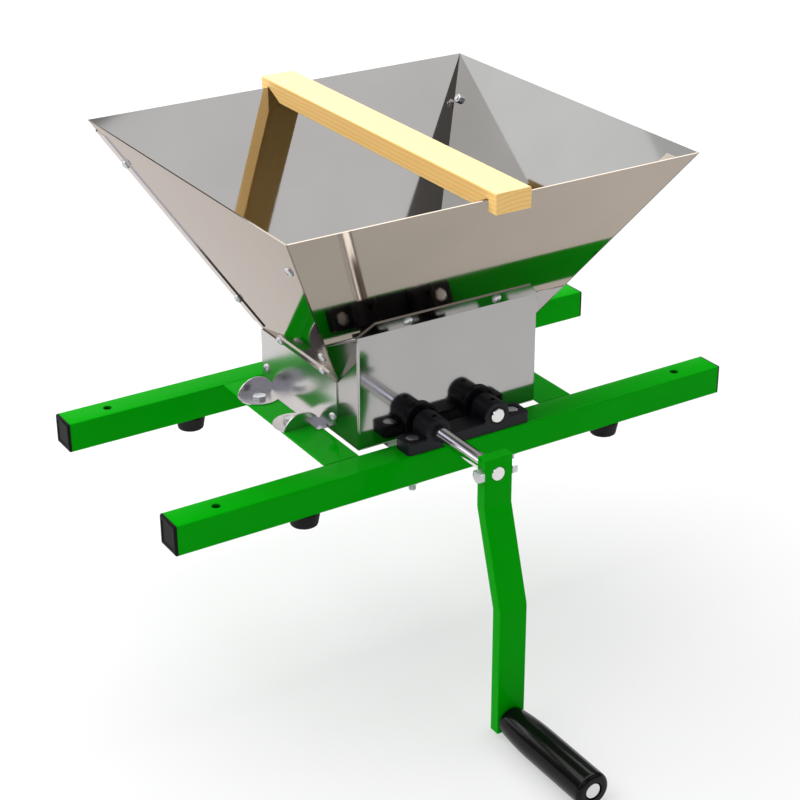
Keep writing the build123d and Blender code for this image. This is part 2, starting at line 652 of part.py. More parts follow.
def shaft(x, near, rows):
    """Round shaft with two flats along its roller and two cross holes."""
    bar = rod(x, SHAFT_HEIGHT, SHAFT / 2, near, shaft_end)
    bar = chamfer(bar.edges().filter_by(GeomType.CIRCLE), SHAFT_CHAMFER)
    flat = Box(SHAFT, roller_back - roller_front, SHAFT, align=(Align.CENTER, Align.CENTER, Align.MIN))
    for side in (-1, 1):
        turn = 0 if side > 0 else 180
        bar -= Pos(x, roller_mid, SHAFT_HEIGHT + side * SHAFT_FLATS / 2) * Rot(0, turn, 0) * flat
    for row in pin_rows(rows):
        bar -= Pos(x, row, SHAFT_HEIGHT - SHAFT) * post(PIN / 2 + FIT, 2 * SHAFT)
    return bar


cross_hole = Plane(origin=(-shaft_x - CRANK_WIDTH, crank_mid, SHAFT_HEIGHT), z_dir=(1, 0, 0))
cross_drill = cross_hole * post(hole_radius(BOLT_THREAD), 2 * CRANK_WIDTH)
parts["drive_shaft"] = shaft(-shaft_x, CRANK_FACE, drive_rows) - cross_drill
parts["driven_shaft"] = shaft(shaft_x, block_front - SHAFT_NOSE, driven_rows)

# Crushing rollers: toothed discs keyed on the flats, set apart by their hubs so that the two stacks interleave


def polar(radius, angle):
    """Point at a radius and an angle in radians."""
    return (radius * cos(angle), radius * sin(angle))


def toothed_disc():
    """Outline of a disc with hooked teeth."""
    step = 2 * pi / DISC_TEETH
    edges = []
    for tooth in range(DISC_TEETH):
        start = tooth * step
        heel = polar(DISC_ROOT_RADIUS, start)
        back = polar((DISC_ROOT_RADIUS + DISC_TIP_RADIUS) / 2, start + 0.5 * step)
        tip = polar(DISC_TIP_RADIUS, start + 0.8 * step)
        nose = polar(DISC_TIP_RADIUS, start + 0.92 * step)
        edges += [ThreePointArc(heel, back, tip), Line(tip, nose), Line(nose, polar(DISC_ROOT_RADIUS, start + step))]
    return make_face(edges)


def stack(x, rows, turned):
    """Toothed discs with hubs that butt together, plain sleeves at both ends and the pins."""
    outline = toothed_disc()
    if turned:
        outline = mirror(outline, about=Plane.YZ)
    bore = Circle(SHAFT / 2 + FIT) & Rectangle(2 * SHAFT, SHAFT_FLATS + 2 * FIT)
    discs = []
    for row in rows:
        place = Plane(origin=(x, row, SHAFT_HEIGHT), x_dir=(1, 0, 0), z_dir=(0, 1, 0))
        disc = extrude(outline, DISC_THICK / 2, both=True)
        disc += extrude(Circle(HUB_RADIUS), DISC_PITCH / 2, both=True)
        discs.append(place * (disc - extrude(bore, DISC_PITCH, both=True)))
    pins = []
    for index, row in zip((0, -1), pin_rows(rows)):
        place = Pos(x, row, SHAFT_HEIGHT - HUB_RADIUS)
        discs[index] -= place * post(PIN / 2 + FIT, 2 * HUB_RADIUS)
        pins.append(place * Pos(0, 0, PIN_SUNK) * post(PIN / 2, 2 * (HUB_RADIUS - PIN_SUNK)))
    sleeves = []
    for start, stop in ((roller_front, rows[0] - DISC_PITCH / 2), (rows[-1] + DISC_PITCH / 2, roller_back)):
        sleeve = rod(x, SHAFT_HEIGHT, SLEEVE_RADIUS, start, stop)
        sleeves.append(sleeve - rod(x, SHAFT_HEIGHT, SHAFT / 2 + FIT, start, stop))
    return group(discs), group(sleeves), group(pins)


for name, x, rows, turned in (("drive", -shaft_x, drive_rows, False), ("driven", shaft_x, driven_rows, True)):
    discs, sleeves, pins = stack(x, rows, turned)
    parts[name + "_toothed_discs"] = discs
    parts[name + "_spacers"] = sleeves
    parts[name + "_roller_pins"] = pins

# Gear pair that turns the second shaft the other way


def gear_outline(phase):
    """Spur gear outline with involute flanks, each drawn as one arc."""
    pitch_radius = GEAR_MODULE * GEAR_TEETH / 2
    pressure = radians(GEAR_PRESSURE)
    base = pitch_radius * cos(pressure)
    tip = pitch_radius + GEAR_MODULE
    root = pitch_radius - 1.25 * GEAR_MODULE
    low = max(base, root)
    half_at_pitch = pi / (2 * GEAR_TEETH) - GEAR_BACKLASH / (4 * pitch_radius)

    def half_angle(radius):
        angle = acos(base / radius)
        return half_at_pitch + (tan(pressure) - pressure) - (tan(angle) - angle)

    radii = (low, (low + tip) / 2, tip)
    step = 2 * pi / GEAR_TEETH
    edges = []
    for tooth in range(GEAR_TEETH):
        middle = phase + tooth * step
        rising = [polar(radius, middle - half_angle(radius)) for radius in radii]
        falling = [polar(radius, middle + half_angle(radius)) for radius in reversed(radii)]
        foot_in = polar(root, middle - half_angle(low))
        foot_out = polar(root, middle + half_angle(low))
        foot_next = polar(root, middle + step - half_angle(low))
        edges += [Line(foot_in, rising[0]), ThreePointArc(*rising), Line(rising[2], falling[0])]
        edges += [ThreePointArc(*falling), Line(falling[2], foot_out), Line(foot_out, foot_next)]
    return make_face(edges)


for name, x, phase in (("drive", -shaft_x, 0), ("driven", shaft_x, pi / GEAR_TEETH)):
    place = Plane(origin=(x, gear_front, SHAFT_HEIGHT), x_dir=(1, 0, 0), z_dir=(0, 1, 0))
    gear = place * extrude(gear_outline(phase), GEAR_WIDTH)
    gear += rod(x, SHAFT_HEIGHT, GEAR_COLLAR_RADIUS, gear_front - GEAR_COLLAR, gear_front)
    gear += rod(x, SHAFT_HEIGHT, GEAR_HUB_RADIUS, gear_back, gear_back + GEAR_HUB_LENGTH)
    gear -= rod(x, SHAFT_HEIGHT, SHAFT / 2 + FIT, gear_front - GEAR_COLLAR, shaft_end)
    grub_seat = Pos(x, gear_back + GEAR_HUB_LENGTH / 2, SHAFT_HEIGHT + SHAFT / 2)
    grub_length = GEAR_HUB_RADIUS - SHAFT / 2
    gear -= grub_seat * post(FOOT_THREAD / 2 + FIT, 2 * grub_length)
    parts[name + "_gear"] = gear
    parts[name + "_gear_screw"] = grub_seat * post(FOOT_THREAD / 2, grub_length)

# Crank: a flat bar bent outwards twice
grip_height = SHAFT_HEIGHT - CRANK_RADIUS
crank_low_mid = crank_mid - CRANK_OFFSET
crank_path = FilletPolyline(
    (-shaft_x, crank_mid, SHAFT_HEIGHT + CRANK_TOP),
    (-shaft_x, crank_mid, SHAFT_HEIGHT - CRANK_BEND_HIGH),
    (-shaft_x, crank_low_mid, SHAFT_HEIGHT - CRANK_BEND_LOW),
    (-shaft_x, crank_low_mid, grip_height - CRANK_END),
    radius=CRANK_BEND_RADIUS,
)
crank_start = Plane(origin=crank_path @ 0, x_dir=(1, 0, 0), z_dir=(0, 0, -1))
crank = sweep(crank_start * RectangleRounded(CRANK_WIDTH, CRANK_THICK, CRANK_EDGE), path=crank_path)
crank -= rod(-shaft_x, SHAFT_HEIGHT, SHAFT / 2 + FIT, CRANK_FACE, crank_back)
crank -= cross_drill
crank_low_face = crank_low_mid - CRANK_THICK / 2
crank_low_back = crank_low_mid + CRANK_THICK / 2
crank -= rod(-shaft_x, grip_height, hole_radius(SPINDLE_THREAD), crank_low_face, crank_low_back)
parts["crank_arm"] = crank

cross_seat = Plane(origin=(-shaft_x - CRANK_WIDTH / 2, crank_mid, SHAFT_HEIGHT), z_dir=(-1, 0, 0))
cross_length = CRANK_WIDTH + nut_height(BOLT_THREAD) + BOLT_THREAD / 4
parts["crank_cross_bolt"] = cross_seat * hex_bolt(BOLT_THREAD, cross_length, head_height(BOLT_THREAD))
parts["crank_cross_nut"] = cross_seat.offset(-CRANK_WIDTH) * hex_nut(BOLT_THREAD)

# Grip: a turned handle that spins on a spindle bolted to the crank
grip_near = crank_low_face - WASHER_THICK - GRIP_RUN
grip_far = grip_near - GRIP_LENGTH
spindle_head_face = grip_far + SPINDLE_SUNK
spindle_seat = spindle_head_face + SPINDLE_HEAD_THICK
recess_floor = spindle_seat + GRIP_RUN
recess_radius = SPINDLE_HEAD / 2 + SPINDLE_HEAD_ROOM
bore_radius = SPINDLE_THREAD / 2 + FIT
washer = rod(-shaft_x, grip_height, WASHER_RADIUS, grip_near + GRIP_RUN, crank_low_face)
parts["grip_washer"] = washer - rod(-shaft_x, grip_height, bore_radius, grip_near, crank_low_face)

round_mid = GRIP_ROUND * (1 - cos(pi / 4))
swell_end = (GRIP_RADIUS, GRIP_SWELL)
grip_swell = TangentArc(swell_end, (GRIP_NECK, 0), tangent=(0, -1))
grip_round = ThreePointArc(
    (GRIP_RADIUS, GRIP_LENGTH - GRIP_ROUND),
    (GRIP_RADIUS - round_mid, GRIP_LENGTH - round_mid),
    (GRIP_RADIUS - GRIP_ROUND, GRIP_LENGTH),
)
recess_depth = recess_floor - grip_far
grip_sides = Polyline(
    (GRIP_RADIUS - GRIP_ROUND, GRIP_LENGTH),
    (recess_radius, GRIP_LENGTH),
    (recess_radius, GRIP_LENGTH - recess_depth),
    (bore_radius, GRIP_LENGTH - recess_depth),
    (bore_radius, 0),
    (GRIP_NECK, 0),
)
grip_side = Line(swell_end, (GRIP_RADIUS, GRIP_LENGTH - GRIP_ROUND))
grip_profile = make_face(grip_sides.edges() + grip_swell.edges() + grip_side.edges() + grip_round.edges())
grip_start = Plane(origin=(-shaft_x, grip_near, grip_height), x_dir=(1, 0, 0), z_dir=(0, -1, 0))
parts["handle_grip"] = grip_start * revolve(Plane.XZ * grip_profile, Axis.Z)

spindle_tail = crank_low_back + nut_height(SPINDLE_THREAD) + SPINDLE_TAIL
spindle = rod(-shaft_x, grip_height, SPINDLE_HEAD / 2, spindle_head_face, spindle_seat)
spindle = chamfer(spindle.edges().group_by(Axis.Y)[0], SHAFT_CHAMFER)
parts["grip_spindle"] = spindle + rod(-shaft_x, grip_height, SPINDLE_THREAD / 2, spindle_seat, spindle_tail)
grip_nut_seat = Plane(origin=(-shaft_x, crank_low_back, grip_height), z_dir=(0, -1, 0))
parts["grip_nut"] = grip_nut_seat * hex_nut(SPINDLE_THREAD)

# Wooden bar: notched at both ends to sit over the rim, with sloping shoulders inside it
wood_top = RIM_HEIGHT + WOOD_OVER_RIM
wood_low = RIM_HEIGHT - WOOD_UNDER_RIM
rim_lip = RIM_HEIGHT - SHEET * min(front_wall.z_dir.Z, rear_wall.z_dir.Z)
wood_roof = rim_lip + WOOD_SEAT_ROOM
half_rim = RIM_DEPTH / 2
lug_inner = half_rim + WOOD_LUG_ROOM
lug_outer = lug_inner + WOOD_LUG
half_outline = [
    (lug_outer, wood_top),
    (lug_outer, wood_low),
    (lug_inner, wood_low),
    (lug_inner, wood_roof),
    (lug_inner - WOOD_SEAT, wood_roof),
    (lug_inner - WOOD_SEAT - WOOD_SHOULDER, wood_low),
]
outline = half_outline + [(-y, z) for y, z in reversed(half_outline)]
wood_face = make_face(Polyline(*[(RIM_OFFSET + y, z) for y, z in outline], close=True))
wood = extrude(Plane.YZ * wood_face, WOOD_WIDTH / 2, both=True)
long_edges = wood.edges().filter_by(Axis.Y).group_by(Axis.Z)[-1]
parts["wooden_bar"] = chamfer(long_edges, WOOD_EDGE)

os.makedirs("parts", exist_ok=True)
for node, shape in parts.items():
    export_step(shape, "parts/" + node + ".step")
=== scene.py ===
import json
import math

import bmesh
import bpy
import numpy as np
from mathutils import Matrix, Vector

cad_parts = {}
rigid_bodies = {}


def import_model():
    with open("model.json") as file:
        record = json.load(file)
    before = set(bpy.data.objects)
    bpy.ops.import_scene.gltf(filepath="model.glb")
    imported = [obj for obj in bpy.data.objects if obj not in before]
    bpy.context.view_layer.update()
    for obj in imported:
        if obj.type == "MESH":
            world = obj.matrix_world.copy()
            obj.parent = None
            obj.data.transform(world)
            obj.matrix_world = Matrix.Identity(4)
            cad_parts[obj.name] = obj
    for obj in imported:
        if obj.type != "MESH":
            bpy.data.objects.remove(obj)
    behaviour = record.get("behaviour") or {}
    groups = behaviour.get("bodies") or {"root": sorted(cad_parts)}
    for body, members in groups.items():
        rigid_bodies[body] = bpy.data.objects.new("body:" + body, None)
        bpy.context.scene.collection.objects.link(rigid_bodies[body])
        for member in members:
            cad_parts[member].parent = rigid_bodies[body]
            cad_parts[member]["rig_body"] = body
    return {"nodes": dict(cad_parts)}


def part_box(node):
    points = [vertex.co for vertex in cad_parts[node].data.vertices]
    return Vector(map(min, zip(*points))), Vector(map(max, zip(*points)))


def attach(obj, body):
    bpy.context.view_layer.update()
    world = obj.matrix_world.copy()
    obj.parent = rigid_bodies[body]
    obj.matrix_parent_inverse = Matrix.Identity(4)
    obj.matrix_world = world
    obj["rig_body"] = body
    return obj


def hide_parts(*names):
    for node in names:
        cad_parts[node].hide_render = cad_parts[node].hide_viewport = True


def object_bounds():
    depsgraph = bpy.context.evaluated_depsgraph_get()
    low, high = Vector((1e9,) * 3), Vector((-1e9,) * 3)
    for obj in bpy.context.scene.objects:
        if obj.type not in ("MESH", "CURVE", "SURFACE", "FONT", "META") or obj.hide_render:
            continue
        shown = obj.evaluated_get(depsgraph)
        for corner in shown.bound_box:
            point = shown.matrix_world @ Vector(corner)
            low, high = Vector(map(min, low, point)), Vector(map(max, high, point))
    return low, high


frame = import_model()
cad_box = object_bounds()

# Frame tubes and cross bars
# Two square mild-steel tubes with two flat bars welded in between them, level with the tops of the tubes.
# The welded frame is powder coated bright green, in a smooth coat with a faint orange peel.
mm = 0.001


class Signal:
    """One output of a node tree. Arithmetic on it adds Math nodes."""

    def __init__(self, sketch, socket):
        self.sketch = sketch
        self.socket = socket

    def maths(self, operation, first, second):
        return self.sketch.add("ShaderNodeMath", {"operation": operation}, {0: first, 1: second})

    def __add__(self, other):
        return self.maths("ADD", self, other)

    def __radd__(self, other):
        return self.maths("ADD", other, self)

    def __sub__(self, other):
        return self.maths("SUBTRACT", self, other)

    def __rsub__(self, other):
        return self.maths("SUBTRACT", other, self)

    def __mul__(self, other):
        return self.maths("MULTIPLY", self, other)

    def __rmul__(self, other):
        return self.maths("MULTIPLY", other, self)

    def __truediv__(self, other):
        return self.maths("DIVIDE", self, other)

    def __rtruediv__(self, other):
        return self.maths("DIVIDE", other, self)


class Sketch:
    """A node tree that is drawn one node at a time."""

    def __init__(self, tree):
        self.tree = tree

    @staticmethod
    def pick(sockets, key):
        """A socket by its number, its identifier or its name."""
        if isinstance(key, int):
            return sockets[key]
        named = [socket for socket in sockets if socket.identifier == key]
        named += [socket for socket in sockets if socket.name == key]
        return named[0]

    def feed(self, socket, value):
        """Links a signal to a socket, or sets the socket's own value."""
        if isinstance(value, Signal):
            self.tree.links.new(value.socket, socket)
        else:
            socket.default_value = value

    def add(self, kind, settings=None, values=None, take=0):
        """Adds a node, its settings first and then the values or links of its sockets, and gives one output.
        A list of values goes into one socket that takes several links."""
        node = self.tree.nodes.new(kind)
        for name, value in (settings or {}).items():
            if name == "stops":
                ramp = node.color_ramp
                ramp.elements[0].position, ramp.elements[0].color = value[0]
                ramp.elements[1].position, ramp.elements[1].color = value[-1]
                for place, colour in value[1:-1]:
                    ramp.elements.new(place).color = colour
            else:
                setattr(node, name, value)
        for name, value in (values or {}).items():
            for single in value if isinstance(value, list) else [value]:
                self.feed(self.pick(node.inputs, name), single)
        return Signal(self, self.pick(node.outputs, take))


class Finish(Sketch):
    """A surface finish: one shader with its fixed numbers, and signals that vary over the piece."""

    def __init__(self, name, fixed):
        self.material = bpy.data.materials.new(name)
        self.material.use_nodes = True
        super().__init__(self.material.node_tree)
        self.shader = self.tree.nodes["Principled BSDF"]
        self.set(fixed)
        self.place = self.add("ShaderNodeTexCoord", take="Object")

    def set(self, values):
        for name, value in values.items():
            self.feed(self.pick(self.shader.inputs, name), value)

    def mapped(self, location=(0, 0, 0), scale=(1, 1, 1)):
        """The piece's coordinates, stretched and then moved."""
        values = {"Vector": self.place, "Location": location, "Scale": scale}
        return self.add("ShaderNodeMapping", {"vector_type": "POINT"}, values)

    def noise(self, scale, detail=2.0, where=None):
        values = {"Vector": where or self.place, "Scale": scale, "Detail": detail}
        return self.add("ShaderNodeTexNoise", None, values, "Fac")

    def streaks(self, stretch, detail):
        """Noise that is drawn out or packed close along each axis."""
        return self.noise(1.0, detail, self.mapped(scale=stretch))

    def facing(self, axis):
        """How far the surface faces along an axis, from -1 to 1."""
        normal = self.add("ShaderNodeTexCoord", take="Normal")
        return self.add("ShaderNodeSeparateXYZ", None, {0: normal}, axis)

    def blend(self, share, first, second):
        """One colour running into another."""
        values = {"Factor_Float": share, "A_Color": first, "B_Color": second}
        return self.add("ShaderNodeMix", {"data_type": "RGBA"}, values, "Result_Color")

    def spread(self, signal, low, high, start=0.0, end=1.0):
        """A signal's span from low to high, drawn out to run from start to end and held there."""
        values = {"Value": signal, "From Min": low, "From Max": high, "To Min": start, "To Max": end}
        return self.add("ShaderNodeMapRange", None, values)

    def bumped(self, height, depth):
        values = {"Height": height, "Distance": depth, "Strength": 1.0}
        return self.add("ShaderNodeBump", None, values, "Normal")


def linear(red, green, blue):
    """A colour as a paint chart gives it, 0 to 255, as light."""
    light = []
    for part in (red / 255, green / 255, blue / 255):
        light.append(part / 12.92 if part <= 0.04045 else ((part + 0.055) / 1.055) ** 2.4)
    return (*light, 1.0)


def merged(node):
    """The shape of a CAD piece with its triangles sewn together."""
    sewn_within = 0.002 * mm
    shape = bmesh.new()
    shape.from_mesh(frame["nodes"][node].data)
    bmesh.ops.remove_doubles(shape, verts=shape.verts, dist=sewn_within)
    return shape


def plain_piece(name, source):
    """A plain mesh object made from an object with modifiers, which is removed."""
    bpy.context.view_layer.update()
    depsgraph = bpy.context.evaluated_depsgraph_get()
    mesh = bpy.data.meshes.new_from_object(source.evaluated_get(depsgraph), depsgraph=depsgraph)
    bpy.data.objects.remove(source)
    piece = bpy.data.objects.new(name, mesh)
    bpy.context.scene.collection.objects.link(piece)
    return piece


def level_faces(mesh):
    """Shades the flat faces of a mesh as flat, and lets only the narrow strips between them turn."""
    same_way = 0.9
    mates = [[] for _ in mesh.vertices]
    for face in mesh.polygons:
        for corner in face.vertices:
            mates[corner].append(face)
    normals = []
    for faces in mates:
        widest = max(faces, key=lambda face: face.area).normal
        near = [face.area * face.normal for face in faces if face.normal.dot(widest) > same_way]
        normals.append(sum(near, Vector()).normalized())
    mesh.normals_split_custom_set_from_vertices(normals)


def soft_edged(node, edge, segments, fold=None):
    """A copy of a CAD piece with its sharp edges rounded over, after any folds that are rounded more."""
    flat_within = math.radians(0.2)
    sharp_from = math.radians(28)
    shape = merged(node)
    bmesh.ops.dissolve_limit(shape, angle_limit=flat_within, verts=shape.verts, edges=shape.edges)
    if fold:
        fold(shape)
        shape.verts.index_update()
    corners = [vert.co.copy() for vert in shape.verts]
    faces = [[vert.index for vert in face.verts] for face in shape.faces]
    shape.free()
    mesh = bpy.data.meshes.new(node + "_edges")
    mesh.from_pydata(corners, [], faces)
    mesh.shade_smooth()
    source = bpy.data.objects.new(node + "_edges", mesh)
    bpy.context.scene.collection.objects.link(source)
    rounding = source.modifiers.new("rounding", "BEVEL")
    rounding.width = edge
    rounding.segments = segments
    rounding.limit_method = "ANGLE"
    rounding.angle_limit = sharp_from
    rounding.harden_normals = not fold
    piece = plain_piece(node + "_finished", source)
    if fold:
        level_faces(piece.data)
    return piece


def dress(node, finish, edge=None, segments=2, fold=None):
    """Gives a CAD piece its finish. With an edge radius, a copy with rounded edges stands for it."""
    cad = frame["nodes"][node]
    if edge is None:
        piece = cad
    else:
        piece = soft_edged(node, edge, segments, fold)
        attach(piece, cad["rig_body"])
        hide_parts(node)
    piece.data.materials.clear()
    piece.data.materials.append(finish.material)


tube_edge = 0.35 * mm
peel_depth = 0.005 * mm
deep_green = linear(0, 154, 4)
fresh_green = linear(2, 161, 10)
green_coat = Finish("green_powder_coat", {"Specular IOR Level": 0.024})
coat_drift = green_coat.spread(green_coat.noise(scale=9), low=0.3, high=0.7)
coat_speck = green_coat.noise(scale=600)
orange_peel = green_coat.noise(scale=300, detail=1.0)
green_coat.set({
    "Base Color": green_coat.blend(coat_drift, deep_green, fresh_green),
    "Roughness": 0.1 + 0.08 * coat_speck,
    "Normal": green_coat.bumped(orange_peel, peel_depth),
})
for node in ("front_frame_tube", "rear_frame_tube", "left_cross_bar", "right_cross_bar"):
    dress(node, green_coat, tube_edge)

# End caps of the tubes
# Four plugs of charcoal moulded plastic, pressed into the tube ends, with a sunk panel in the face.
# The mould leaves a fine even texture on them.
cap_edge = 0.4 * mm
cap_texture = 0.012 * mm
charcoal_dark = linear(11, 10, 10)
charcoal_light = linear(20, 19, 18)
charcoal = Finish("charcoal_plastic", {"Specular IOR Level": 0.08})
cap_tone = charcoal.noise(scale=60)
mould_grain = charcoal.noise(scale=1400, detail=3.0)
charcoal.set({
    "Base Color": charcoal.blend(cap_tone, charcoal_dark, charcoal_light),
    "Roughness": 0.42 + 0.2 * mould_grain,
    "Normal": charcoal.bumped(mould_grain, cap_texture),
})
dress("tube_end_caps", charcoal, cap_edge, segments=3)

# Rubber feet
# Four tapered bumpers of black rubber, each held under a tube by a screw through its recess.
# Moulded, with a dull skin and a little bloom.
foot_edge = 0.8 * mm
skin_depth = 0.02 * mm
rubber_black = linear(15, 13, 14)
bloom_grey = linear(32, 29, 29)
rubber = Finish("foot_rubber", {"Specular IOR Level": 0.2})
bloom = rubber.spread(rubber.noise(scale=45, detail=4.0), low=0.4, high=0.75)
rubber_skin = rubber.noise(scale=900, detail=3.0)
rubber.set({
    "Base Color": rubber.blend(bloom, rubber_black, bloom_grey),
    "Roughness": 0.6 + 0.2 * rubber_skin,
    "Normal": rubber.bumped(rubber_skin, skin_depth),
})
dress("rubber_feet", rubber, foot_edge, segments=3)

# Hopper and throat sheets
# Eight folded sheets of stainless steel, polished to a mirror, cut square and lapped at the seams. Each has
# a shade of its own; on the four hopper sheets these are painted shades, darker or lighter for the light
# each sheet mirrors. The throat, whose front is folded to a radius at both sides, is a little duller.
# The thin sheet is never quite flat, and wiping leaves the polish uneven.
sheet_edge = 0.16 * mm
sheet_wave = 0.05 * mm
fold_radius = 2 * mm
fold_run_out = 4 * mm
steel_tint = (0.83, 0.78, 0.75, 1.0)
wiped_shade = 0.94
hopper_blur = 0.035
throat_blur = 0.08
cheek_blur = 0.11
side_sheet_blur = 0.2
# painted shade: each hopper sheet is one steel in a lighter or darker copy, for the light it mirrors
hopper_painted_shades = {
    "hopper_front_panel": linear(172, 162, 151),
    "hopper_rear_panel": linear(189, 187, 185),
    "hopper_left_panel": linear(148, 139, 131),
    "hopper_right_panel": linear(130, 130, 129),
}
throat_shade = linear(172, 170, 169)
side_sheet_shade = linear(198, 197, 197)


def polished_sheet(name, shade, blur, side_blur=None):
    """Polished stainless steel of one shade. A blur dulls its mirror, and a side blur its side faces."""
    sheet = Finish(name, {"Metallic": 1.0, "Specular Tint": steel_tint})
    wiped = sheet.spread(sheet.noise(scale=12, detail=4.0), low=0.35, high=0.7)
    wave = sheet.noise(scale=6, detail=0.0)
    dim = (*(wiped_shade * part for part in shade[:3]), 1.0)
    dulled = blur + 0.03 * wiped
    if side_blur:
        sideways = sheet.add("ShaderNodeMath", {"operation": "ABSOLUTE"}, {0: sheet.facing("X")})
        dulled = dulled + (side_blur - blur) * sheet.spread(sideways, low=0.75, high=0.95)
    sheet.set({
        "Base Color": sheet.blend(wiped, dim, shade),
        "Roughness": dulled,
        "Normal": sheet.bumped(wave, sheet_wave),
    })
    return sheet


def rounded_folds(shape):
    """Bends the throat's two upright front folds to a radius that runs out just below the top corners."""
    near = 0.05 * mm
    merge_reach = 0.65 * fold_radius
    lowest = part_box("throat_front_panel")[0].z
    front = min(vert.co.y for vert in shape.verts if vert.co.z < lowest + near)
    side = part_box("throat_rear_panel")[1].x

    def on_fold(vert):
        return abs(abs(vert.co.x) - side) + abs(vert.co.y - front) < near

    top = max(vert.co.z for vert in shape.verts if on_fold(vert)) - fold_radius
    for level in (top, top - fold_run_out):
        whole = shape.verts[:] + shape.edges[:] + shape.faces[:]
        bmesh.ops.bisect_plane(shape, geom=whole, dist=near, plane_co=(0, 0, level), plane_no=(0, 0, 1))
    folds = []
    for edge in shape.edges:
        if all(on_fold(vert) and vert.co.z < top + near for vert in edge.verts):
            folds.append(edge)
    bmesh.ops.bevel(shape, geom=folds, offset=fold_radius, segments=4, profile=0.5, affect="EDGES")
    for x in (-side, side):
        tip = Vector((x, front, top))
        rounded = [vert for vert in shape.verts if (vert.co - tip).length < merge_reach]
        bmesh.ops.pointmerge(shape, verts=rounded, merge_co=tip)


throat_steel = polished_sheet("polished_throat_front", throat_shade, throat_blur, cheek_blur)
side_steel = polished_sheet("polished_throat_side", side_sheet_shade, side_sheet_blur)
for node, shade in hopper_painted_shades.items():
    dress(node, polished_sheet("polished_" + node, shade, hopper_blur), sheet_edge)
dress("throat_front_panel", throat_steel, sheet_edge, fold=rounded_folds)
dress("throat_rear_panel", throat_steel, sheet_edge)
for node in ("throat_left_panel", "throat_right_panel"):
    dress(node, side_steel, sheet_edge)

# Sheet screws and foot screws
# Zinc-plated machine screws with a low round head and a cross recess, one at each lap of the sheets.
# The feet have the same screws in a larger size.


